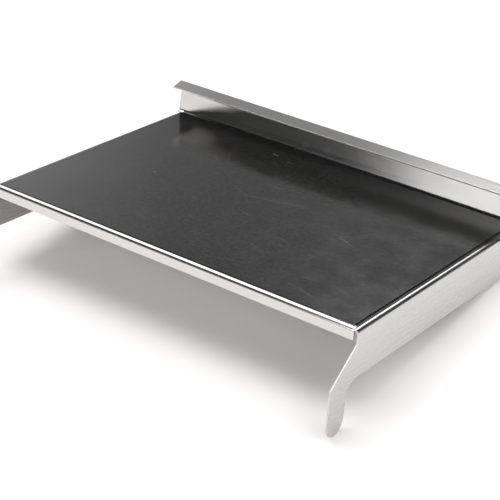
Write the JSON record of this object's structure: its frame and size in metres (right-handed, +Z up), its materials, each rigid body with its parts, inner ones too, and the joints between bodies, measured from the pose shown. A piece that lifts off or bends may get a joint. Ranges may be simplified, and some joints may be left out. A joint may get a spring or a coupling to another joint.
{
  "type": "tabletop food slide",
  "caption": "Low sheet-metal food slide for a table, with a dark non-stick deck that slopes down to a folded stop wall between two side brackets with short front legs.",
  "frame": {"origin": "centre of the slide's bounding box in X and Y, on the table that it stands on", "axes": "+X to the right as seen from the nose, +Y from the nose towards the stop wall, +Z up"},
  "size_m": [0.457, 0.3674, 0.0962],
  "materials": {
    "shell_steel": "fine linear brush along the width",
    "bracket_steel": "fine linear brush, semi-bright",
    "non_stick": "dark smooth non-stick, lightly scratched and smudged"
  },
  "bodies": {
    "root": {"deck_shell": "shell_steel", "slide_sheet": "non_stick", "left_bracket": "bracket_steel", "right_bracket": "bracket_steel"}
  },
  "joints": []
}
